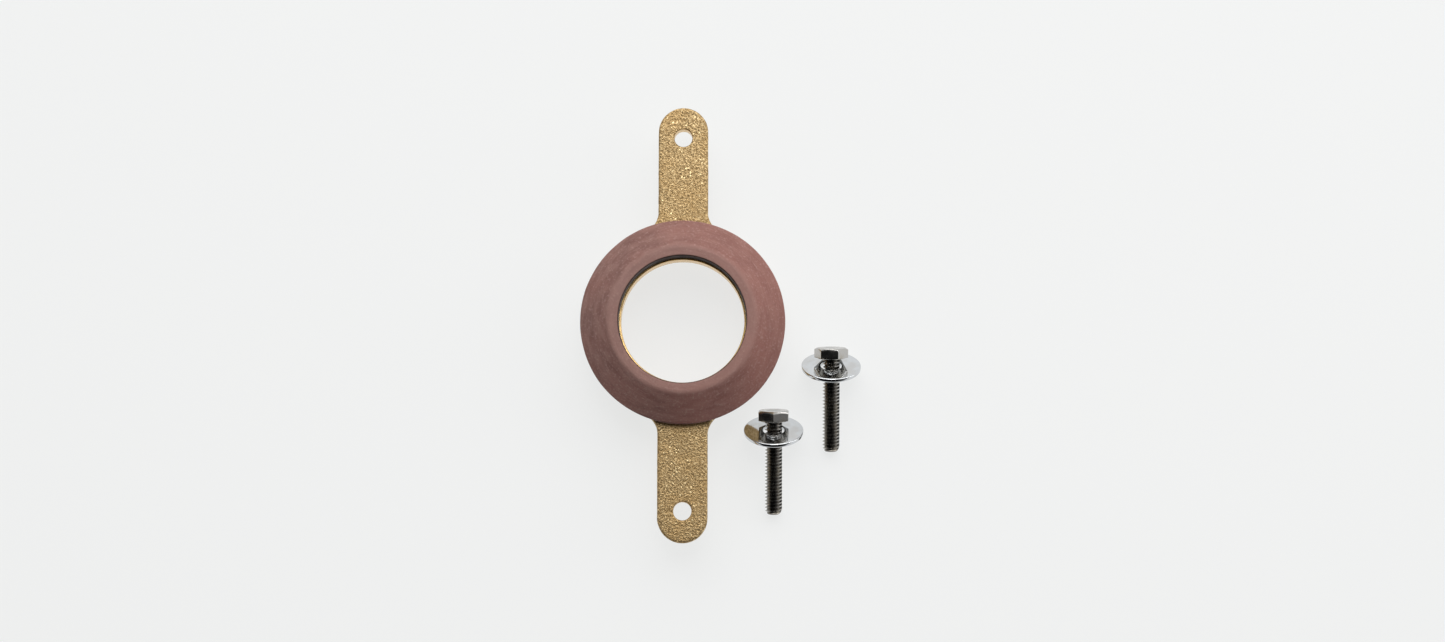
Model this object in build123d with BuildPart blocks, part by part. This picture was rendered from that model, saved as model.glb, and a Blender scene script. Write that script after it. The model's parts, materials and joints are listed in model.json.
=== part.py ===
"""Toilet flange: a brass casting, a conical rubber gasket and two loose bolts with wide washers.

The casting lies on its back face. +Z is the waterway axis, pointing out of the gasket side, and the
bolt ears point along +Y and -Y. The origin is the centre of the pipe socket's mouth on the back face.
All lengths are in millimetres and all angles in degrees.
"""
import os
from math import cos, radians, sin, tan

from build123d import *

# Casting: hub, plate, seat and collar
HUB_RADIUS = 34.6
PLATE_RADIUS = 36.8
PLATE_BACK = 13.0
PLATE_FRONT = 18.0
SEAT_RADIUS = 35.6
SEAT_RISE = 0.7
COLLAR_RADIUS = 27.4
COLLAR_TOP = 22.0
CAST_ROUNDING = 0.8

# Casting: pipe socket and waterway
SOCKET_RADIUS = 28.28
SOCKET_DEPTH = 15.5
WATERWAY_RADIUS = 22.85
WATERWAY_CHAMFER = 0.3

# Casting: bolt ears
BOLT_CENTRES = 139.7
EAR_WIDTH = 18.7
EAR_END_OFFSET = 2.4
EAR_ROOT_FILLET = 5.6
EAR_HOLE_RADIUS = 3.375
EAR_HOLE_CHAMFER = 0.3

# Gasket
GASKET_RADIUS = 38.1
GASKET_BACK = 18.8
GASKET_RIM_HEIGHT = 1.7
GASKET_LAND_RADIUS = 27.2
GASKET_FRONT = 28.2
GASKET_BORE_RADIUS = 23.45
GASKET_FIT_GAP = 0.2
GASKET_RIM_ROUNDING = 0.8
GASKET_CROWN_ROUNDING = 3.0
GASKET_LIP_ROUNDING = 0.7

# Bolt: 1/4-20 UNC, fully threaded, with a 7/16 in hexagon head
BOLT_LENGTH = 34.925
THREAD_RADIUS = 3.175
THREAD_PITCH = 1.27
THREAD_DEPTH = 0.6134 * THREAD_PITCH
THREAD_FLANK = 30.0
THREAD_START = 0.9
TIP_CHAMFER = 0.3
HEAD_ACROSS_FLATS = 11.1125
HEAD_HEIGHT = 4.1
HEAD_FACE_RADIUS = 5.05
HEAD_FACE_HEIGHT = 0.35
HEAD_TOP_RADIUS = 5.3
HEAD_TOP_BEVEL = 30.0

# Washer: 7/8 in outside diameter
WASHER_RADIUS = 11.11
WASHER_HOLE_RADIUS = 3.97
WASHER_THICKNESS = 1.6
WASHER_RIM_ROUNDING = 0.55
WASHER_HOLE_ROUNDING = 0.3

# How the loose bolts lie: the tail and the washer's rim rest on the ground, the head is held up
BOLT_TILTS = {"left": 12.05, "right": 11.8}
WASHER_TILT = 34.2
WASHER_PLACES = {"left": (33.75, -39.9), "right": (55.35, -15.8)}
HEAD_TURNS = {"left": 27.0, "right": 51.2}

SEAT_TOP = PLATE_FRONT + SEAT_RISE
EAR_HOLE_Y = BOLT_CENTRES / 2
EAR_END_Y = EAR_HOLE_Y + EAR_END_OFFSET
THREAD_ROOT_RADIUS = THREAD_RADIUS - THREAD_DEPTH
THREAD_CREST = THREAD_PITCH / 16
THREAD_FOOT = THREAD_CREST + THREAD_DEPTH * tan(radians(THREAD_FLANK))
THREAD_TURNS = int((BOLT_LENGTH - THREAD_START - THREAD_FOOT) / THREAD_PITCH) + 1

# The first ring of thread touches the ground. The washer's centre stands above the ground by its
# leaning rim, and the bolt's axis runs through it.
WASHER_CENTRE_Z = (WASHER_RADIUS - WASHER_RIM_ROUNDING) * cos(radians(WASHER_TILT)) + WASHER_RIM_ROUNDING
WASHER_CENTRE_Z += (WASHER_THICKNESS / 2 - WASHER_RIM_ROUNDING) * sin(radians(WASHER_TILT))
FIRST_TOUCH = THREAD_START - THREAD_CREST
WASHER_NORMAL = Vector(0, cos(radians(WASHER_TILT)), sin(radians(WASHER_TILT)))

os.makedirs("parts", exist_ok=True)


def tail_plane(side):
    """Plane across the bolt's axis at the tip of its tail, facing the head."""
    x, y = WASHER_PLACES[side]
    tilt = radians(BOLT_TILTS[side])
    direction = Vector(0, cos(tilt), sin(tilt))
    tail_z = THREAD_RADIUS * cos(tilt) - FIRST_TOUCH * sin(tilt)
    washer_station = (WASHER_CENTRE_Z - tail_z) / sin(tilt)
    print(side, "washer", round(washer_station, 3), "mm from the bolt's tip")
    tail = Vector(x, y, WASHER_CENTRE_Z) - direction * washer_station
    return Plane(origin=tail, x_dir=(1, 0, 0), z_dir=direction)


def washer_plane(side):
    """Plane through the middle of the washer's thickness, facing the bolt's head."""
    x, y = WASHER_PLACES[side]
    return Plane(origin=(x, y, WASHER_CENTRE_Z), x_dir=(1, 0, 0), z_dir=WASHER_NORMAL)


# Casting
with BuildPart() as flange_casting:
    # plate with its two ears
    with BuildSketch(Plane.XY.offset(PLATE_BACK)):
        Circle(PLATE_RADIUS)
        Rectangle(EAR_WIDTH, 2 * EAR_END_Y)
        with Locations((0, EAR_END_Y), (0, -EAR_END_Y)):
            Circle(EAR_WIDTH / 2)
        ear_roots = vertices().filter_by(lambda v: EAR_WIDTH < abs(v.Y) < EAR_HOLE_Y)
        fillet(ear_roots, radius=EAR_ROOT_FILLET)
    extrude(amount=PLATE_FRONT - PLATE_BACK)
    plate_rims = faces().filter_by(Axis.Z).edges()
    fillet(plate_rims, radius=CAST_ROUNDING)

    # hub behind the plate
    with BuildSketch(Plane.XY):
        Circle(HUB_RADIUS)
    extrude(amount=PLATE_BACK + CAST_ROUNDING)
    hub_back = faces().sort_by(Axis.Z)[0].edges()
    fillet(hub_back, radius=CAST_ROUNDING)

    # raised seat and collar in front of the plate
    with BuildSketch(Plane.XY.offset(PLATE_FRONT - CAST_ROUNDING)):
        Circle(SEAT_RADIUS)
    extrude(amount=SEAT_RISE + CAST_ROUNDING)
    with BuildSketch(Plane.XY.offset(SEAT_TOP)):
        Circle(COLLAR_RADIUS)
    extrude(amount=COLLAR_TOP - SEAT_TOP)
    collar_rim = faces().sort_by(Axis.Z)[-1].edges()
    fillet(collar_rim, radius=CAST_ROUNDING)

    # pipe socket, then the waterway through the shoulder above it
    with BuildSketch(Plane.XY):
        Circle(SOCKET_RADIUS)
    extrude(amount=SOCKET_DEPTH, mode=Mode.SUBTRACT)
    with BuildSketch(Plane.XY.offset(SOCKET_DEPTH)):
        Circle(WATERWAY_RADIUS)
    extrude(amount=COLLAR_TOP - SOCKET_DEPTH, mode=Mode.SUBTRACT)
    waterway_rim = faces().sort_by(Axis.Z)[-1].edges().sort_by(SortBy.RADIUS)[0]
    chamfer(waterway_rim, length=WATERWAY_CHAMFER)

    # plain holes through the ears, with their edges broken on both faces
    with BuildSketch(Plane.XY.offset(PLATE_BACK)):
        with Locations((0, EAR_HOLE_Y), (0, -EAR_HOLE_Y)):
            Circle(EAR_HOLE_RADIUS)
    extrude(amount=PLATE_FRONT - PLATE_BACK, mode=Mode.SUBTRACT)
    ear_hole_rims = edges().filter_by(GeomType.CIRCLE).filter_by(
        lambda e: abs(e.radius - EAR_HOLE_RADIUS) < 0.01
    )
    chamfer(ear_hole_rims, length=EAR_HOLE_CHAMFER)

flange_casting.part.label = "flange_casting"
export_step(flange_casting.part, "parts/flange_casting.step")

# Gasket: a conical ring, hollowed underneath to fit over the collar
with BuildPart() as gasket:
    recess_radius = COLLAR_RADIUS + GASKET_FIT_GAP
    recess_top = COLLAR_TOP + GASKET_FIT_GAP
    rim_top = GASKET_BACK + GASKET_RIM_HEIGHT
    with BuildSketch(Plane.XZ):
        with BuildLine():
            Polyline(
                (recess_radius, GASKET_BACK),
                (GASKET_RADIUS, GASKET_BACK),
                (GASKET_RADIUS, rim_top),
                (GASKET_LAND_RADIUS, GASKET_FRONT),
                (GASKET_BORE_RADIUS, GASKET_FRONT),
                (GASKET_BORE_RADIUS, recess_top),
                (recess_radius, recess_top),
                close=True,
            )
        make_face()
        fillet(vertices().group_by(Axis.X)[-1], radius=GASKET_RIM_ROUNDING)
        crown = vertices().group_by(Axis.Y)[-1].sort_by(Axis.X)[-1]
        fillet(crown, radius=GASKET_CROWN_ROUNDING)
        lip = vertices().group_by(Axis.Y)[-1].sort_by(Axis.X)[0]
        fillet(lip, radius=GASKET_LIP_ROUNDING)
    revolve(axis=Axis.Z)

gasket.part.label = "gasket"
export_step(gasket.part, "parts/gasket.step")


def build_bolt(side):
    """Hexagon-head bolt: a fully threaded shank under a bevelled head with a round bearing face.

    Rings stand in for the helix of the thread, with its true pitch, depth and flank angle.
    """
    tail = tail_plane(side)
    with BuildPart() as head:
        with BuildSketch(tail.offset(BOLT_LENGTH)):
            Circle(HEAD_FACE_RADIUS)
        extrude(amount=HEAD_FACE_HEIGHT)
        with BuildSketch(tail.offset(BOLT_LENGTH + HEAD_FACE_HEIGHT)):
            RegularPolygon(HEAD_ACROSS_FLATS / 2, 6, major_radius=False, rotation=HEAD_TURNS[side])
        extrude(amount=HEAD_HEIGHT - HEAD_FACE_HEIGHT)
        with Locations(tail.offset(BOLT_LENGTH).location):
            Cone(
                bottom_radius=HEAD_TOP_RADIUS + HEAD_HEIGHT / tan(radians(HEAD_TOP_BEVEL)),
                top_radius=HEAD_TOP_RADIUS,
                height=HEAD_HEIGHT,
                align=(Align.CENTER, Align.CENTER, Align.MIN),
                mode=Mode.INTERSECT,
            )

    with BuildPart() as bolt:
        # shank section along the bolt's axis: a chamfered tip, then one ring of thread per pitch
        with BuildSketch(Plane(origin=tail.origin, x_dir=tail.z_dir, z_dir=tail.x_dir)):
            with BuildLine():
                outline = [(0, 0), (0, THREAD_ROOT_RADIUS - TIP_CHAMFER), (TIP_CHAMFER, THREAD_ROOT_RADIUS)]
                for turn in range(THREAD_TURNS):
                    station = THREAD_START + turn * THREAD_PITCH
                    outline += [
                        (station - THREAD_FOOT, THREAD_ROOT_RADIUS),
                        (station - THREAD_CREST, THREAD_RADIUS),
                        (station + THREAD_CREST, THREAD_RADIUS),
                        (station + THREAD_FOOT, THREAD_ROOT_RADIUS),
                    ]
                outline += [(BOLT_LENGTH, THREAD_ROOT_RADIUS), (BOLT_LENGTH, 0)]
                Polyline(*outline, close=True)
            make_face()
        revolve(axis=Axis(tail.origin, tail.z_dir))
        add(head.part)
    return bolt


def build_washer(side):
    """Wide flat washer with rounded rims, leaning between the ground and the bolt's head."""
    middle = washer_plane(side)
    with BuildPart() as washer:
        with BuildSketch(middle.offset(-WASHER_THICKNESS / 2)):
            Circle(WASHER_RADIUS)
            Circle(WASHER_HOLE_RADIUS, mode=Mode.SUBTRACT)
        extrude(amount=WASHER_THICKNESS)
        hole_rims, outer_rims = edges().filter_by(GeomType.CIRCLE).group_by(SortBy.RADIUS)
        fillet(outer_rims, radius=WASHER_RIM_ROUNDING)
        fillet(hole_rims, radius=WASHER_HOLE_ROUNDING)
    return washer


for side in WASHER_PLACES:
    bolt = build_bolt(side)
    bolt.part.label = f"bolt_{side}"
    export_step(bolt.part, f"parts/bolt_{side}.step")

    washer = build_washer(side)
    washer.part.label = f"washer_{side}"
    export_step(washer.part, f"parts/washer_{side}.step")

print("bolt axis at the washer", round(WASHER_CENTRE_Z, 3), "mm above the ground")
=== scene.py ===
"""Looks for the toilet flange: cast brass flange, rubber gasket, two plated bolts and two chrome washers.

Shapes are worked out in millimetres and written in metres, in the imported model's frame. Each piece
replaces one CAD node, and lies where that node lies.
"""
import json
import math

import bmesh
import bpy
import numpy as np
from mathutils import Matrix, Vector, noise


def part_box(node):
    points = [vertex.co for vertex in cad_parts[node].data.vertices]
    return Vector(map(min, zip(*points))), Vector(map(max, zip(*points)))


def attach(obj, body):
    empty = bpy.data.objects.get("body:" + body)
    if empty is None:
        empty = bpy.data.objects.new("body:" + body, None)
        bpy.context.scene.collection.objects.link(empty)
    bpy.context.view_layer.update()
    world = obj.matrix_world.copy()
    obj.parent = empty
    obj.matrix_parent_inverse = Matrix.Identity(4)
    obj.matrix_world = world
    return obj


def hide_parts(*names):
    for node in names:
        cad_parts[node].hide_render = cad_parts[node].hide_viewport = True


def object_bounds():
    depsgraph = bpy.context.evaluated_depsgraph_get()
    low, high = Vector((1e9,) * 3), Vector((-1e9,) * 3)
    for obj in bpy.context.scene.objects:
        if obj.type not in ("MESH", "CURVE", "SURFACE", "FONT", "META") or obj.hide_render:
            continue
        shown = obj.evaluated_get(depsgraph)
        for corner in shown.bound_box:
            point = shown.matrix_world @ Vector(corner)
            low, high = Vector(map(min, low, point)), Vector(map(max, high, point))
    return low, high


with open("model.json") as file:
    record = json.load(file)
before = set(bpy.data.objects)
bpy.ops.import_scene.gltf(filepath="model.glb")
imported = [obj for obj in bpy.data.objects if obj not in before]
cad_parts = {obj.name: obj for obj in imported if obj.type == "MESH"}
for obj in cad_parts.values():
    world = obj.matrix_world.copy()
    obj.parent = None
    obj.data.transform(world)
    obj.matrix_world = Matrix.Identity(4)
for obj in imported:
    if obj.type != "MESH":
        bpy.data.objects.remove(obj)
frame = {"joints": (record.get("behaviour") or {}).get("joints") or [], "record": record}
cad_low, cad_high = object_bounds()
record = frame["record"]
mounts = {m["name"]: m for m in record["mounts"]}
joints = {j["name"]: j for j in frame["joints"]}

MM = 0.001

# Casting. Here and below, sizes are in millimetres and angles in degrees
HUB_RADIUS = 34.6
PLATE_RADIUS = 36.8
PLATE_BACK = 13.0
PLATE_FRONT = 18.0
SEAT_RADIUS = 35.6
SEAT_TOP = 18.7
SEAT_ROUNDING = 0.3
SEAT_FILLET = 0.4
COLLAR_RADIUS = 27.4
COLLAR_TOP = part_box("flange_casting")[1].z / MM
COLLAR_ROUNDING = 0.5
COLLAR_FILLET = 0.2
EAR_WIDTH = 18.7
EAR_END_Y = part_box("flange_casting")[1].y / MM - EAR_WIDTH / 2
EAR_ROOT_FILLET = 5.6
CAST_ROUNDING = 0.9
CAST_FILLET = 1.1
MACHINED_ROUNDING = 0.32
CASTING_CELL = 0.49
# Layers of noise in the skin: (height, wavelength, seed)
CASTING_LUMPS = ((0.07, 11.0, 1), (0.04, 2.6, 2), (0.05, 1.1, 3))
SOCKET_RADIUS = mounts["outlet_thread"]["dims"]["r_mm"]
SOCKET_DEPTH = mounts["outlet_thread"]["dims"]["length_mm"]
WATERWAY_RADIUS = mounts["waterway"]["dims"]["r_mm"]
HOLE_RADIUS = mounts["ear_bolts"]["dims"]["hole_r_mm"]
HOLE_Y = mounts["ear_bolts"]["dims"]["spacing_y_mm"] / 2

# Taper pipe thread in the socket: 11-1/2 threads to the inch on a taper of 1 in 16
PIPE_PITCH = 25.4 / 11.5
PIPE_THREAD_DEPTH = 1.6
PIPE_TAPER = 1 / 32
PIPE_THREAD_END = 12.5
SOCKET_CHAMFER_RADIUS = 30.2

# Gasket
GASKET_COLUMNS = 520
GASKET_LUMPS = ((0.16, 24.0, 4), (0.06, 7.0, 5), (0.02, 1.8, 6))
GASKET_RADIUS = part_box("gasket")[1].x / MM
GASKET_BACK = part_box("gasket")[0].z / MM
GASKET_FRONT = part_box("gasket")[1].z / MM
GASKET_RIM_TOP = GASKET_BACK + 1.7
GASKET_LAND_RADIUS = 27.2
GASKET_BORE_RADIUS = mounts["gasket_bore"]["dims"]["r_mm"]
GASKET_RECESS_RADIUS = 27.6
GASKET_RECESS_TOP = 22.2

# Bolt: 1/4-20, fully threaded, with a 7/16 in hexagon head
BOLT_LENGTH = 34.925
THREAD_RADIUS = 3.175
THREAD_PITCH = 1.27
THREAD_DEPTH = 0.6134 * THREAD_PITCH
# Half-width of a ridge at its root, and the width of its flank, in pitches
RIDGE_FOOT = 0.42
RIDGE_FLANK = 0.355
TIP_RADIUS = 2.1
TIP_SLOPE = 1.15
HEAD_BEVEL = 30
HEAD_APOTHEM = 11.1125 / 2
HEAD_HEIGHT = 4.1
HEAD_FACE_RADIUS = 5.05
HEAD_FACE_HEIGHT = 0.35
HEAD_TOP_RADIUS = 5.3
HEAD_CORNER_ROUNDING = 0.3
HEAD_TURNS = {"left": 27.0, "right": 51.2}

# Washer
WASHER_RADIUS = 11.11
WASHER_HOLE_RADIUS = 3.97
WASHER_THICKNESS = 1.6
WASHER_COLUMNS = 360
WASHER_TILT = 34.2
WASHER_SEEDS = {"left": 7, "right": 8}

# Camera. From here on, places and distances are in metres
LENS = 50.0
CAMERA_TILT = (7.57, 0.333, 0.045)
CAMERA_DISTANCE = 0.745
CAMERA_AIM = (0.00055, 0.00047, 0.018)

# Soft lights: (place, size, power in watts)
LIGHT_AIM = (0, 0, 0.01)
LIGHTS = {
    "key": ((0.05, 0.80, 0.75), (1.5, 0.9), 10),
    "overhead": ((0.05, 0.34, 1.15), (0.5, 0.3), 2.3),
    "fill_right": ((1.1, 0.25, 0.45), (0.5, 0.7), 3),
}
TABLE_HALF_WIDTH = 6.0


# ---------------------------------------------------------------- camera

def add_camera():
    """A camera almost straight above the object, aimed at its middle."""
    middle = (cad_low + cad_high) / 2
    camera = bpy.data.objects.new("camera", bpy.data.cameras.new("camera"))
    bpy.context.scene.collection.objects.link(camera)
    bpy.context.scene.camera = camera
    camera.data.lens = LENS
    camera.data.clip_start = 0.01
    camera.data.clip_end = 20
    camera.rotation_euler = [math.radians(angle) for angle in CAMERA_TILT]
    forward = camera.rotation_euler.to_matrix() @ Vector((0, 0, -1))
    target = Vector((middle.x + CAMERA_AIM[0], middle.y + CAMERA_AIM[1], CAMERA_AIM[2]))
    camera.location = target - forward * CAMERA_DISTANCE


# ---------------------------------------------------------------- mesh helpers

def make_object(name, vertices, faces, placing=None):
    """A smooth-shaded mesh object. Vertices are in millimetres, placing is its matrix in metres."""
    own = np.asarray(vertices, float) * MM
    placed = own if placing is None else own @ np.array(placing.to_3x3()).T + np.array(placing.translation)
    mesh = bpy.data.meshes.new(name)
    mesh.from_pydata(placed.tolist(), [], [list(map(int, f)) for f in faces])
    mesh.shade_smooth()
    obj = bpy.data.objects.new(name, mesh)
    bpy.context.scene.collection.objects.link(obj)
    attribute = mesh.attributes.new("own_place", "FLOAT_VECTOR", "POINT")
    attribute.data.foreach_set("vector", own.astype(np.float32).ravel())
    return obj


def ring_faces(rows, columns, closed_profile):
    """Quads between neighbouring rings of points. Rings are closed; the profile may be closed too."""
    faces = []
    for row in range(rows if closed_profile else rows - 1):
        above = (row + 1) % rows
        for column in range(columns):
            beside = (column + 1) % columns
            faces.append((
                row * columns + column,
                row * columns + beside,
                above * columns + beside,
                above * columns + column,
            ))
    return faces


def rounded_profile(corners, step):
    """Closed outline through (radius, height, rounding) corners, with arcs at the corners."""
    points = []
    count = len(corners)
    for i in range(count):
        before = Vector(corners[i - 1][:2])
        here = Vector(corners[i][:2])
        after = Vector(corners[(i + 1) % count][:2])
        into = (before - here).normalized()
        onward = (after - here).normalized()
        half_angle = into.angle(onward) / 2
        rounding = corners[i][2]
        reach = rounding / math.tan(half_angle)
        centre = here + (into + onward).normalized() * (rounding / math.sin(half_angle))
        start = here + into * reach
        end = here + onward * reach
        sweep = math.pi - 2 * half_angle
        steps = max(3, round(rounding * sweep / (step * 0.35)))
        first = start - centre
        last = end - centre
        for k in range(steps + 1):
            share = k / steps
            direction = (first * (1 - share) + last * share).normalized()
            points.append(centre + direction * rounding)
        next_here = Vector(corners[(i + 1) % count][:2])
        next_after = Vector(corners[(i + 2) % count][:2])
        next_half = (here - next_here).angle(next_after - next_here) / 2
        next_start = next_here - onward * (corners[(i + 1) % count][2] / math.tan(next_half))
        run = (next_start - end).length
        pieces = max(1, round(run / step))
        for k in range(1, pieces):
            points.append(end.lerp(next_start, k / pieces))
    return np.array([tuple(p) for p in points])


def revolved(profile, columns):
    """Points of a closed (radius, height) outline turned round the Z axis, row by row."""
    angles = np.arange(columns) * (2 * math.pi / columns)
    radii = profile[:, 0][:, None]
    heights = np.repeat(profile[:, 1][:, None], columns, 1)
    return np.stack([radii * np.cos(angles), radii * np.sin(angles), heights], -1).reshape(-1, 3)


def vertex_normals(vertices, faces):
    """Area-weighted normals of a quad mesh."""
    quads = np.asarray(faces)
    a, b, c, d = (vertices[quads[:, k]] for k in range(4))
    face_normals = np.cross(c - a, d - b)
    normals = np.zeros_like(vertices)
    for k in range(4):
        np.add.at(normals, quads[:, k], face_normals)
    return normals / np.maximum(np.linalg.norm(normals, axis=1), 1e-12)[:, None]


def lumps(points, wavelength, seed):
    """Smooth noise from about -1 to 1 at each point, with features of that wavelength in mm."""
    shifted = points / wavelength + seed * 17.3
    return np.array([noise.noise(Vector(p)) for p in shifted])


def relief(points, layers):
    """Layers of smooth noise added up. Each layer is (height, wavelength, seed)."""
    return sum(height * lumps(points, wavelength, seed) for height, wavelength, seed in layers)


def store(obj, name, values):
    """Keeps one number for each vertex, for the material to read."""
    attribute = obj.data.attributes.new(name, "FLOAT", "POINT")
    attribute.data.foreach_set("value", np.asarray(values, np.float32))


# ---------------------------------------------------------------- casting

def rounded_union(a, b, radius):
    """Joins two distance fields with a fillet of that radius."""
    corner = np.hypot(np.maximum(radius - a, 0), np.maximum(radius - b, 0))
    return np.maximum(radius, np.minimum(a, b)) - corner


def rounded_cut(body, tool, radius):
    """Cuts the tool's field out of the body's, rounding the edge that it leaves."""
    corner = np.hypot(np.maximum(radius + body, 0), np.maximum(radius - tool, 0))
    return np.minimum(-radius, np.maximum(body, -tool)) + corner


def slab(outline, z, low, high, rounding):
    """Field of a flat outline raised from low to high, with rounded rims."""
    across = outline + rounding
    along = np.abs(z - (low + high) / 2) - (high - low) / 2 + rounding
    outside = np.hypot(np.maximum(across, 0), np.maximum(along, 0))
    return outside + np.minimum(np.maximum(across, along), 0) - rounding


def socket_wall(z, angle):
    """Radius of the threaded socket's wall: a tapering bore with a helical groove that runs out."""
    phase = (z / PIPE_PITCH - angle / (2 * math.pi)) % 1
    # A triangular groove with its crest and root cut flat
    groove = np.clip(1.25 * (1 - np.abs(2 * phase - 1)) - 0.1, 0, 1)
    runout = np.clip((PIPE_THREAD_END - z) / PIPE_PITCH, 0, 1)
    return SOCKET_RADIUS - PIPE_TAPER * z + PIPE_THREAD_DEPTH * groove * runout


def casting_field(x, y, z):
    """Signed distance, roughly, to the casting's surface: negative inside."""
    radial = np.hypot(x, y)
    ears = np.hypot(x, np.maximum(np.abs(y) - EAR_END_Y, 0)) - EAR_WIDTH / 2
    outline = rounded_union(radial - PLATE_RADIUS, ears, EAR_ROOT_FILLET)
    body = slab(outline, z, PLATE_BACK, PLATE_FRONT, CAST_ROUNDING)
    hub = slab(radial - HUB_RADIUS, z, 0, PLATE_BACK + CAST_FILLET, CAST_ROUNDING)
    body = rounded_union(body, hub, CAST_FILLET)
    seat = slab(radial - SEAT_RADIUS, z, PLATE_FRONT - CAST_FILLET, SEAT_TOP, SEAT_ROUNDING)
    body = rounded_union(body, seat, SEAT_FILLET)
    collar = slab(radial - COLLAR_RADIUS, z, PLATE_FRONT - CAST_FILLET, COLLAR_TOP, COLLAR_ROUNDING)
    body = rounded_union(body, collar, COLLAR_FILLET)
    socket = np.maximum(radial - socket_wall(z, np.arctan2(y, x)), z - SOCKET_DEPTH)
    mouth = (radial - SOCKET_CHAMFER_RADIUS + z) * math.sqrt(0.5)
    body = np.maximum(np.maximum(body, -socket), -mouth)
    body = rounded_cut(body, radial - WATERWAY_RADIUS, MACHINED_ROUNDING)
    holes = np.hypot(x, np.abs(y) - HOLE_Y) - HOLE_RADIUS
    return rounded_cut(body, holes, MACHINED_ROUNDING)


def surface_net(field, low, cell):
    """Quad mesh where a sampled field changes sign: one vertex per crossed cell."""
    cells = np.array(field.shape) - 1
    total = np.zeros((cells.prod(), 3))
    hits = np.zeros(cells.prod())
    quads = []
    strides = np.array([cells[1] * cells[2], cells[2], 1])
    for axis in range(3):
        near = np.take(field, range(field.shape[axis] - 1), axis)
        far = np.take(field, range(1, field.shape[axis]), axis)
        crossed = (near < 0) != (far < 0)
        index = np.argwhere(crossed)
        share = near[crossed] / (near[crossed] - far[crossed])
        place = index.astype(float)
        place[:, axis] += share
        others = [k for k in range(3) if k != axis]
        base = index @ strides
        corners = []
        for du, dv in ((0, 0), (1, 0), (1, 1), (0, 1)):
            corner = base - du * strides[others[0]] - dv * strides[others[1]]
            corners.append(corner)
            for k in range(3):
                total[:, k] += np.bincount(corner, place[:, k], len(total))
            hits += np.bincount(corner, minlength=len(hits))
        quad = np.stack(corners, 1)
        outward = (near[crossed] < 0) ^ (axis == 1)
        quads.append(np.where(outward[:, None], quad, quad[:, ::-1]))
    used = np.flatnonzero(hits)
    renumber = np.full(len(hits), -1)
    renumber[used] = np.arange(len(used))
    vertices = low + cell * total[used] / hits[used][:, None]
    return vertices, renumber[np.concatenate(quads)]


def pull_to_surface(vertices, field, rounds=3, probe=0.02):
    """Moves vertices onto the field's zero surface and returns them with the field's normals."""
    for _ in range(rounds):
        value = field(*vertices.T)
        slope = np.stack([
            field(*(vertices + probe * np.eye(3)[k]).T) - field(*(vertices - probe * np.eye(3)[k]).T)
            for k in range(3)
        ], 1) / (2 * probe)
        steepness = np.maximum((slope ** 2).sum(1), 0.25)
        move = np.clip(value / steepness, -0.25, 0.25)
        vertices = vertices - move[:, None] * slope
    return vertices, slope / np.maximum(np.linalg.norm(slope, axis=1), 1e-9)[:, None]


def build_casting():
    """The brass casting: rough sand-cast skin outside, turned and threaded surfaces inside."""
    cell = CASTING_CELL
    low = np.array([-PLATE_RADIUS, -EAR_END_Y - EAR_WIDTH / 2, 0]) - 1.5 * cell
    high = np.array([PLATE_RADIUS, EAR_END_Y + EAR_WIDTH / 2, COLLAR_TOP]) + 1.5 * cell
    axes = [np.arange(a, b + cell, cell) for a, b in zip(low, high)]
    x, y, z = np.meshgrid(*axes, indexing="ij", sparse=True)
    field = casting_field(x, y, z)
    vertices, faces = surface_net(field, low, cell)
    vertices, normals = pull_to_surface(vertices, casting_field)

    radial = np.hypot(vertices[:, 0], vertices[:, 1])
    hole_distance = np.hypot(vertices[:, 0], np.abs(vertices[:, 1]) - HOLE_Y) - HOLE_RADIUS
    in_socket = (radial < HUB_RADIUS - 1.5) & (vertices[:, 2] < SOCKET_DEPTH + 0.2)
    in_waterway = (radial < WATERWAY_RADIUS + MACHINED_ROUNDING) | (vertices[:, 2] > SEAT_TOP + 0.3)
    in_hole = hole_distance < 0.12
    machined = in_socket | in_waterway | in_hole | (vertices[:, 2] < 0.15)
    skin = np.where(machined, 0.0, 1.0)
    # Inward only, so that the piece stays inside the CAD box
    inward = np.minimum(relief(vertices, CASTING_LUMPS) - 0.07, 0)
    vertices = vertices + normals * (inward * skin)[:, None]

    casting = make_object("cast_flange", vertices, faces)
    store(casting, "machined", 1 - skin)
    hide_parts("flange_casting")
    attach(casting, "casting")
    casting.data.materials.append(brass_material())


# ---------------------------------------------------------------- gasket

def build_gasket():
    """The rubber gasket: a moulded cone with a softly uneven rim and a hollow underside."""
    corners = [
        (GASKET_RECESS_RADIUS, GASKET_BACK, 0.25),
        (GASKET_RADIUS, GASKET_BACK, 0.5),
        (GASKET_RADIUS, GASKET_RIM_TOP, 0.9),
        (GASKET_LAND_RADIUS, GASKET_FRONT, 3.2),
        (GASKET_BORE_RADIUS, GASKET_FRONT, 0.6),
        (GASKET_BORE_RADIUS, GASKET_RECESS_TOP, 0.25),
        (GASKET_RECESS_RADIUS, GASKET_RECESS_TOP, 0.2),
    ]
    profile = rounded_profile(corners, 0.55)
    vertices = revolved(profile, GASKET_COLUMNS)
    faces = ring_faces(len(profile), GASKET_COLUMNS, closed_profile=True)
    normals = vertex_normals(vertices, faces)
    radial = np.hypot(vertices[:, 0], vertices[:, 1])
    outer = np.clip((radial - GASKET_RECESS_RADIUS) / (GASKET_RADIUS - GASKET_RECESS_RADIUS), 0, 1)
    front = vertices[:, 2] > GASKET_RECESS_TOP + 0.4
    shown = np.maximum(outer, front * 0.5)
    uneven = np.minimum(relief(vertices, GASKET_LUMPS) - 0.1, 0)
    vertices = vertices + normals * (uneven * shown)[:, None]
    gasket = make_object("rubber_gasket", vertices, faces)
    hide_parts("gasket")
    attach(gasket, "gasket")
    gasket.data.materials.append(rubber_material())


# ---------------------------------------------------------------- bolts and washers

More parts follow.
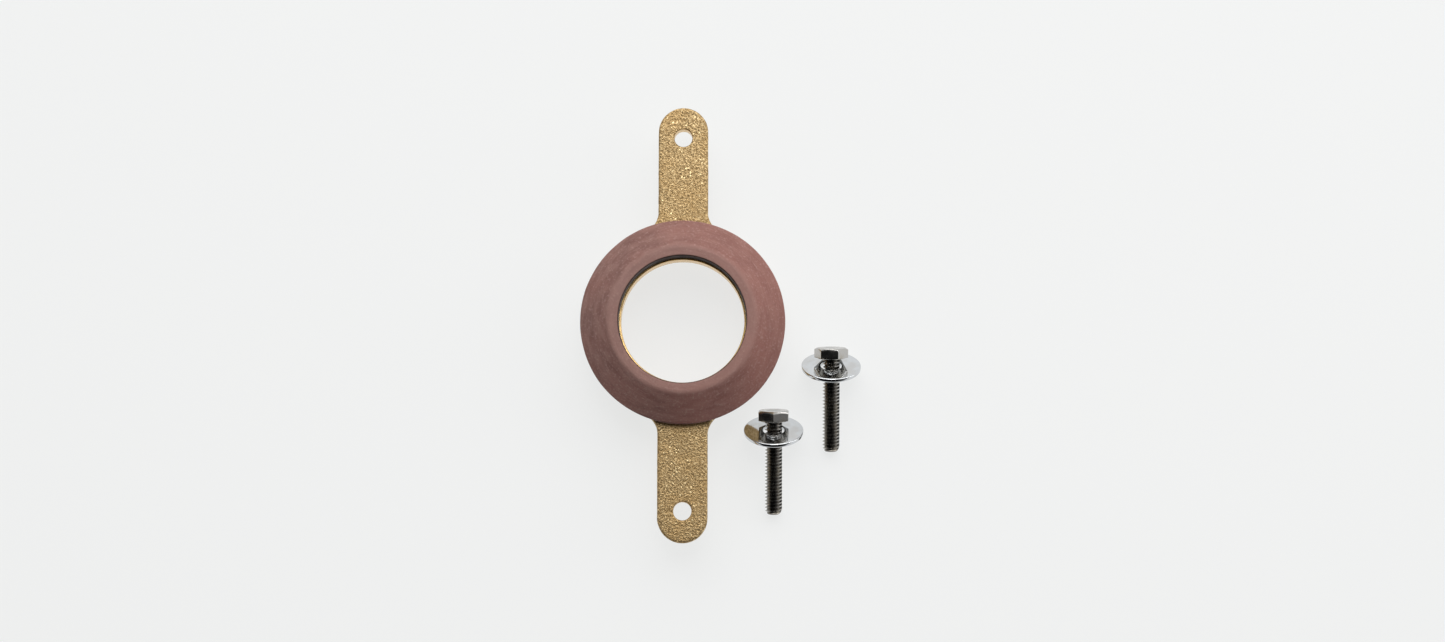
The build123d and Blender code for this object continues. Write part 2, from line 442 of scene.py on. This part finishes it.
def bolt_placing(side):
    """The bolt's own frame, with Z from its tail to its head, and the direction of its axis."""
    tailward = Vector(joints[f"{side}_washer_slide"]["axis"]).normalized()
    forward = -tailward
    washer_low, washer_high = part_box(f"washer_{side}")
    through = (washer_low + washer_high) / 2
    tail_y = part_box(f"bolt_{side}")[0].y + TIP_RADIUS * MM * forward.z
    tail = through - forward * ((through.y - tail_y) / forward.y)
    across = Vector((1, 0, 0))
    down = forward.cross(across)
    return Matrix.Translation(tail) @ Matrix((across, down, forward)).transposed().to_4x4()


def hexagon_radius(angles, turn):
    """Distance from the axis to a hexagon with rounded corners, at each angle."""
    local = (angles - math.radians(turn)) % (math.pi / 3) - math.pi / 6
    flat = HEAD_APOTHEM / np.cos(local)
    corner_distance = (HEAD_APOTHEM - HEAD_CORNER_ROUNDING) / math.cos(math.pi / 6)
    from_corner = math.pi / 6 - np.abs(local)
    inside = np.maximum(HEAD_CORNER_ROUNDING ** 2 - (corner_distance * np.sin(from_corner)) ** 2, 0)
    rounded = corner_distance * np.cos(from_corner) + np.sqrt(inside)
    on_arc = corner_distance * np.sin(from_corner) < HEAD_CORNER_ROUNDING / 2
    return np.where(on_arc, np.minimum(rounded, flat), flat)


def thread_ring(station, angles):
    """Radius of the shank at a station along the axis, for each angle: the true helical thread."""
    phase = (station / THREAD_PITCH - angles / (2 * math.pi)) % 1
    ridge = np.clip((RIDGE_FOOT - np.abs(phase - 0.5)) / RIDGE_FLANK, 0, 1)
    runin = np.clip(station / (THREAD_PITCH * 1.2), 0, 1)
    envelope = TIP_RADIUS + station * TIP_SLOPE
    return np.minimum(THREAD_RADIUS - THREAD_DEPTH * (1 - ridge * runin), envelope)


def build_bolt(side):
    """Hexagon-head bolt in one closed skin: tip, helical thread, bearing face, head and bevel."""
    turn = HEAD_TURNS[side]
    # Degrees round one sixth of the bolt, closer together near the head's corners
    sector = np.array([0, 0.7, 1.4, 2.2, 4, 7.5, 12, 18, 24, 30, 36, 42, 48, 52.5, 56, 57.8, 58.6, 59.3])
    angles = np.radians(np.concatenate([sector + 60 * k for k in range(6)]) + turn)
    columns = len(angles)
    root = THREAD_RADIUS - THREAD_DEPTH
    hexagon = hexagon_radius(angles, turn)

    rings = []

    def ring(radius, station):
        radius = np.broadcast_to(radius, (columns,))
        station = np.broadcast_to(station, (columns,))
        rings.append(np.stack([radius * np.cos(angles), radius * np.sin(angles), station], 1))

    for share in (0.03, 0.5, 0.85, 1.0):
        ring(TIP_RADIUS * share, 0.12 * (1 - share) ** 2)
    # Rows of the shank follow the helix, so that crests and roots stay sharp all the way round
    row_phases = [0.0, 0.08, 0.2, 0.33, 0.435, 0.5, 0.565, 0.67, 0.8, 0.92]
    turns = int(BOLT_LENGTH / THREAD_PITCH) + 2
    helix_shift = (angles / (2 * math.pi)) % 1
    for turn_index in range(-1, turns):
        for phase in row_phases:
            station = (turn_index + phase + helix_shift) * THREAD_PITCH
            if station.max() <= 0.02 or station.min() >= BOLT_LENGTH - 0.02:
                continue
            station = np.clip(station, 0.02, BOLT_LENGTH - 0.02)
            ring(thread_ring(station, angles), station)
    underside = BOLT_LENGTH + HEAD_FACE_HEIGHT
    top = BOLT_LENGTH + HEAD_HEIGHT
    bevel_drop = np.maximum(hexagon - HEAD_TOP_RADIUS, 0) * math.tan(math.radians(HEAD_BEVEL))
    ring(root, BOLT_LENGTH)
    ring(HEAD_FACE_RADIUS - 0.12, BOLT_LENGTH)
    ring(HEAD_FACE_RADIUS, BOLT_LENGTH + 0.1)
    ring(HEAD_FACE_RADIUS, underside)
    ring(hexagon - 0.15, underside)
    ring(hexagon - 0.04, underside + 0.05)
    ring(hexagon, underside + 0.18)
    for share in (0.25, 0.5, 0.75):
        ring(hexagon, (underside + 0.18) * (1 - share) + (top - bevel_drop - 0.12) * share)
    ring(hexagon, top - bevel_drop - 0.12)
    ring(hexagon - 0.05, top - bevel_drop)
    inner = np.minimum(hexagon - 0.15, HEAD_TOP_RADIUS)
    ring(inner + 0.06, top - 0.03)
    ring(inner - 0.14, top)
    for share in (0.8, 0.55, 0.3, 0.03):
        ring(HEAD_TOP_RADIUS * share, top - 0.05 * (1 - share))

    faces = ring_faces(len(rings), columns, closed_profile=False)
    faces.append(tuple(reversed(range(columns))))
    last = (len(rings) - 1) * columns
    faces.append(tuple(last + k for k in range(columns)))
    bolt = make_object(f"hex_bolt_{side}", np.concatenate(rings), faces, bolt_placing(side))
    weld(bolt)
    bolt.data.set_sharp_from_angle(angle=math.radians(32))
    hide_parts(f"bolt_{side}")
    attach(bolt, f"{side}_bolt")
    bolt.data.materials.append(bolt_material())


def weld(obj):
    """Merges the points that fall together where the helix is cut off at its two ends."""
    mesh = bmesh.new()
    mesh.from_mesh(obj.data)
    bmesh.ops.remove_doubles(mesh, verts=mesh.verts, dist=0.002 * MM)
    bmesh.ops.recalc_face_normals(mesh, faces=mesh.faces)
    mesh.to_mesh(obj.data)
    mesh.free()


def washer_placing(side):
    """The washer's own frame, with Z along its normal towards the bolt's head."""
    low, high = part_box(f"washer_{side}")
    tilt = math.radians(WASHER_TILT)
    normal = Vector((0, math.cos(tilt), math.sin(tilt)))
    across = Vector((1, 0, 0))
    placing = Matrix((across, normal.cross(across), normal)).transposed().to_4x4()
    return Matrix.Translation((low + high) / 2) @ placing


def build_washer(side):
    """Stamped washer: a tight rim towards the head, a rolled one behind, and faces not quite flat."""
    half = WASHER_THICKNESS / 2
    corners = [
        (WASHER_HOLE_RADIUS, -half, 0.3),
        (WASHER_RADIUS, -half, 0.56),
        (WASHER_RADIUS, half, 0.26),
        (WASHER_HOLE_RADIUS, half, 0.25),
    ]
    profile = rounded_profile(corners, 0.4)
    vertices = revolved(profile, WASHER_COLUMNS)
    faces = ring_faces(len(profile), WASHER_COLUMNS, closed_profile=True)
    wave = 0.012 * lumps(vertices, 9.0, WASHER_SEEDS[side])
    vertices[:, 2] += np.minimum(wave - 0.006, 0) * np.sign(vertices[:, 2])
    washer = make_object(f"flat_washer_{side}", vertices, faces, washer_placing(side))
    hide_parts(f"washer_{side}")
    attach(washer, f"{side}_washer")
    washer.data.materials.append(washer_material())


# ---------------------------------------------------------------- material helpers

def srgb(red, green, blue):
    """Linear colour from screen values of 0 to 255."""
    def linear(value):
        value /= 255
        return value / 12.92 if value <= 0.04045 else ((value + 0.055) / 1.055) ** 2.4
    return (linear(red), linear(green), linear(blue), 1.0)


def new_material(name, metallic, specular=0.5):
    """A material with its node tree and its main shader."""
    material = bpy.data.materials.new(name)
    material.use_nodes = True
    surface = material.node_tree.nodes["Principled BSDF"]
    surface.inputs["Metallic"].default_value = metallic
    surface.inputs["Specular IOR Level"].default_value = specular
    return material, material.node_tree, surface


def add(tree, kind, inputs, output=0, **settings):
    """Adds a node and returns one of its outputs. Inputs are values or other nodes' outputs."""
    made = tree.nodes.new(kind)
    for key, value in settings.items():
        setattr(made, key, value)
    for key, value in inputs.items():
        if isinstance(key, int):
            socket = made.inputs[key]
        else:
            socket = next(s for s in made.inputs if key in (s.identifier, s.name) and s.enabled)
        if isinstance(value, bpy.types.NodeSocket):
            tree.links.new(value, socket)
        else:
            socket.default_value = value
    return made.outputs[output]


def maths(tree, operation, a, b):
    """A maths node on two numbers or outputs."""
    return add(tree, "ShaderNodeMath", {0: a, 1: b}, operation=operation)


def spread(tree, value, low, high, to_low=0.0, to_high=1.0):
    """Maps low..high onto to_low..to_high, and holds the ends."""
    inputs = {"Value": value, "From Min": low, "From Max": high, "To Min": to_low, "To Max": to_high}
    return add(tree, "ShaderNodeMapRange", inputs, interpolation_type="SMOOTHSTEP")


def blend(tree, factor, a, b):
    """Mixes two colours."""
    inputs = {"Factor_Float": factor, "A_Color": a, "B_Color": b}
    return add(tree, "ShaderNodeMix", inputs, output=2, data_type="RGBA")


def clouds(tree, coords, wavelength, detail=2.0, roughness=0.5):
    """Noise with features of that size in mm."""
    inputs = {"Vector": coords, "Scale": 1 / (wavelength * MM), "Detail": detail, "Roughness": roughness}
    return add(tree, "ShaderNodeTexNoise", inputs)


def grains(tree, coords, size):
    """A random number for each little cell of that size in mm."""
    inputs = {"Vector": coords, "Scale": 1 / (size * MM)}
    return add(tree, "ShaderNodeTexVoronoi", inputs, output=1)


def own_coords(tree):
    """Each piece's own coordinates, kept on its mesh when it was made."""
    return add(tree, "ShaderNodeAttribute", {}, output=1, attribute_name="own_place")


def axis_distance(tree, coords):
    """Distance from the piece's own Z axis."""
    flat = add(tree, "ShaderNodeVectorMath", {0: coords, 1: (1, 1, 0)}, operation="MULTIPLY")
    return add(tree, "ShaderNodeVectorMath", {0: flat}, output=1, operation="LENGTH")


def turned_coords(tree, coords, stretch):
    """Coordinates in which noise becomes rings round the Z axis. They close up all the way round."""
    flat = add(tree, "ShaderNodeVectorMath", {0: coords, 1: (1, 1, 0)}, operation="MULTIPLY")
    outward = add(tree, "ShaderNodeVectorMath", {0: flat}, operation="NORMALIZE")
    around = add(tree, "ShaderNodeVectorMath", {0: outward, "Scale": stretch * MM}, operation="SCALE")
    height = add(tree, "ShaderNodeSeparateXYZ", {0: coords}, output=2)
    across = maths(tree, "SUBTRACT", axis_distance(tree, coords), maths(tree, "MULTIPLY", height, 0.7))
    upward = add(tree, "ShaderNodeCombineXYZ", {2: across})
    return add(tree, "ShaderNodeVectorMath", {0: around, 1: upward}, operation="ADD")


def stored(tree, name):
    """A number kept on the mesh by store()."""
    return add(tree, "ShaderNodeAttribute", {}, output=2, attribute_name=name)


def bumps(tree, surface, layers):
    """Stacks bump layers given as (height, depth in mm)."""
    normal = None
    for height, depth in layers:
        inputs = {"Height": height, "Distance": depth * MM, "Strength": 1.0}
        if normal is not None:
            inputs["Normal"] = normal
        normal = add(tree, "ShaderNodeBump", inputs)
    tree.links.new(normal, surface.inputs["Normal"])


# ---------------------------------------------------------------- materials

def brass_material():
    """Sand-cast brass: a grainy, slightly tarnished skin, brighter where it was turned or cut."""
    material, tree, surface = new_material("cast_brass", metallic=0.8)
    coords = own_coords(tree)
    machined = stored(tree, "machined")
    broad = clouds(tree, coords, 11, 3)
    medium = clouds(tree, coords, 2.4, 3)
    fine = clouds(tree, coords, 0.75, 2, 0.65)
    grain = grains(tree, coords, 0.55)
    colour = blend(tree, spread(tree, fine, 0.35, 0.68), srgb(150, 123, 82), srgb(214, 186, 138))
    colour = blend(tree, spread(tree, medium, 0.5, 0.85, 0, 0.35), colour, srgb(150, 118, 76))
    colour = blend(tree, spread(tree, broad, 0.35, 0.7, 0, 0.4), colour, srgb(184, 150, 98))
    glint = spread(tree, grain, 0.84, 0.92)
    colour = blend(tree, maths(tree, "MULTIPLY", glint, 0.9), colour, srgb(250, 224, 172))
    pit = spread(tree, grain, 0.05, 0.10, 1, 0)
    colour = blend(tree, maths(tree, "MULTIPLY", pit, 0.7), colour, srgb(80, 56, 32))
    rings = clouds(tree, turned_coords(tree, coords, 0.8), 0.22, 2)
    turned = blend(tree, spread(tree, rings, 0.2, 0.8), srgb(222, 184, 118), srgb(234, 200, 138))
    colour = blend(tree, machined, colour, turned)
    tree.links.new(colour, surface.inputs["Base Color"])
    rough = spread(tree, fine, 0.3, 0.7, 0.6, 0.46)
    rough = maths(tree, "SUBTRACT", rough, maths(tree, "MULTIPLY", glint, 0.16))
    smooth = spread(tree, rings, 0.3, 0.7, 0.2, 0.32)
    inputs = {"Factor_Float": machined, "A_Float": rough, "B_Float": smooth}
    tree.links.new(add(tree, "ShaderNodeMix", inputs), surface.inputs["Roughness"])
    skin = maths(tree, "SUBTRACT", 1.0, machined)
    bumps(tree, surface, [
        (maths(tree, "MULTIPLY", medium, skin), 0.16),
        (maths(tree, "MULTIPLY", fine, skin), 0.30),
        (maths(tree, "MULTIPLY", grain, skin), 0.10),
        (maths(tree, "MULTIPLY", rings, machined), 0.012),
    ])
    return material


def rubber_material():
    """Old-stock red-brown rubber: matt, dusty and mottled, with faint moulding rings."""
    material, tree, surface = new_material("gasket_rubber", metallic=0.0, specular=0.3)
    coords = own_coords(tree)
    broad = clouds(tree, coords, 16, 3)
    medium = clouds(tree, turned_coords(tree, coords, 13.0), 3.2, 3)
    fine = clouds(tree, coords, 0.9, 3, 0.6)
    rings = clouds(tree, turned_coords(tree, coords, 5.0), 0.8, 3)
    colour = blend(tree, spread(tree, medium, 0.3, 0.7), srgb(114, 80, 73), srgb(140, 107, 99))
    colour = blend(tree, spread(tree, broad, 0.35, 0.7, 0, 0.5), colour, srgb(144, 100, 91))
    across = add(tree, "ShaderNodeSeparateXYZ", {0: coords}, output=0)
    redder = spread(tree, across, -36 * MM, 36 * MM, 0, 0.55)
    colour = blend(tree, redder, colour, srgb(144, 94, 85))
    colour = blend(tree, spread(tree, rings, 0.5, 0.8, 0, 0.3), colour, srgb(166, 134, 126))
    colour = blend(tree, spread(tree, fine, 0.5, 0.78, 0, 0.45), colour, srgb(174, 144, 136))
    specks = grains(tree, coords, 0.7)
    colour = blend(tree, spread(tree, specks, 0.9, 0.96, 0, 0.3), colour, srgb(104, 68, 62))
    # Painted highlight: a lighter ring is painted round the crest of the lip, where it faces up into the
    # light.
    crest_painted_highlight = spread(tree, axis_distance(tree, coords), (GASKET_LAND_RADIUS - 0.6) * MM,
                    (GASKET_LAND_RADIUS + 1.6) * MM, 0.45, 0)
    colour = blend(tree, crest_painted_highlight, colour, srgb(164, 130, 121))
    # Painted shade: the inner wall of the bore is painted near black, where shade falls inside the hole.
    edge = (GASKET_BORE_RADIUS + 0.12) * MM
    inner = spread(tree, axis_distance(tree, coords), edge, edge + 0.45 * MM, 1, 0)
    colour = blend(tree, inner, colour, srgb(46, 24, 17))
    tree.links.new(colour, surface.inputs["Base Color"])
    tree.links.new(spread(tree, medium, 0.3, 0.7, 0.72, 0.88), surface.inputs["Roughness"])
    surface.inputs["Sheen Weight"].default_value = 0.12
    surface.inputs["Sheen Roughness"].default_value = 0.5
    bumps(tree, surface, [(medium, 0.12), (rings, 0.07), (fine, 0.08)])
    return material


def bolt_material():
    """Bright-plated steel, smudged, with painted shade darkening the roots of the thread."""
    material, tree, surface = new_material("bolt_steel", metallic=1.0)
    coords = own_coords(tree)
    smudge = clouds(tree, coords, 3.0, 3)
    fine = clouds(tree, coords, 0.5, 2)
    # Painted shade: the roots of the thread are painted darker than the crests.
    depth = spread(tree, axis_distance(tree, coords), 2.45 * MM, 3.1 * MM)
    colour = blend(tree, depth, srgb(120, 116, 110), srgb(188, 186, 183))
    colour = blend(tree, spread(tree, smudge, 0.45, 0.7, 0, 0.45), colour, srgb(166, 158, 142))
    tree.links.new(colour, surface.inputs["Base Color"])
    tree.links.new(spread(tree, smudge, 0.3, 0.7, 0.13, 0.26), surface.inputs["Roughness"])
    lines = clouds(tree, turned_coords(tree, coords, 5.0), 0.3, 2)
    bumps(tree, surface, [(smudge, 0.05), (lines, 0.006), (fine, 0.01)])
    return material


def washer_material():
    """Bright chrome with hairline rubs and a faint stain."""
    material, tree, surface = new_material("washer_chrome", metallic=1.0)
    coords = own_coords(tree)
    smudge = clouds(tree, coords, 5.0, 3)
    rubs = clouds(tree, turned_coords(tree, coords, 6.0), 0.25, 2)
    colour = blend(tree, spread(tree, smudge, 0.4, 0.7), srgb(214, 217, 220), srgb(206, 206, 206))
    tree.links.new(colour, surface.inputs["Base Color"])
    tree.links.new(spread(tree, smudge, 0.3, 0.75, 0.025, 0.08), surface.inputs["Roughness"])
    bumps(tree, surface, [(smudge, 0.02), (rubs, 0.003)])
    return material


# ---------------------------------------------------------------- studio

def add_area(name, place, size, power):
    """A soft rectangular light at that place, turned to face the object."""
    light = bpy.data.lights.new(name, "AREA")
    light.shape = "RECTANGLE"
    light.size, light.size_y = size
    light.energy = power
    obj = bpy.data.objects.new(name, light)
    bpy.context.scene.collection.objects.link(obj)
    obj.location = place
    obj.rotation_euler = (Vector(LIGHT_AIM) - Vector(place)).to_track_quat("-Z", "Y").to_euler()


def add_studio():
    """Pale table, a big soft light beyond the object's far end, weak fills, and a dim room above."""
    bpy.context.scene.view_settings.view_transform = "Standard"
    mesh = bpy.data.meshes.new("table")
    half = TABLE_HALF_WIDTH
    # Just under the casting's back face, so that the two faces never coincide
    low = -0.03 * MM
    corners = [(-half, -half, low), (half, -half, low), (half, half, low), (-half, half, low)]
    mesh.from_pydata(corners, [], [(0, 1, 2, 3)])
    table = bpy.data.objects.new("table", mesh)
    bpy.context.scene.collection.objects.link(table)
    material, tree, surface = new_material("table", metallic=0.0, specular=0.1)
    surface.inputs["Roughness"].default_value = 0.8
    surface.inputs["Base Color"].default_value = (0.15, 0.15, 0.15, 1)
    surface.inputs["Emission Color"].default_value = (0.99, 1.0, 0.995, 1)
    surface.inputs["Emission Strength"].default_value = 0.75
    mesh.materials.append(material)

    for name, (place, size, power) in LIGHTS.items():
        add_area(name, place, size, power)

    world = bpy.data.worlds.new("studio")
    bpy.context.scene.world = world
    world.use_nodes = True
    tree = world.node_tree
    # Pale at the horizon and dark above, most of all towards -Y
    direction = add(tree, "ShaderNodeTexCoord", {}, output=0)
    parts = [add(tree, "ShaderNodeSeparateXYZ", {0: direction}, output=k) for k in range(3)]
    rise = spread(tree, parts[2], 0.07, 0.22)
    away = spread(tree, parts[1], -0.2, 0.75, 1, 0.25)
    aside = spread(tree, parts[0], 0.3, 1.0, 0, 0.3)
    dark = maths(tree, "MULTIPLY", rise, maths(tree, "SUBTRACT", away, aside))
    level = blend(tree, dark, (0.8, 0.8, 0.8, 1), (0.012, 0.012, 0.012, 1))
    background = tree.nodes["Background"]
    tree.links.new(level, background.inputs[0])


# ---------------------------------------------------------------- build

add_camera()
add_studio()
build_casting()
build_gasket()
for hand in HEAD_TURNS:
    build_bolt(hand)
    build_washer(hand)
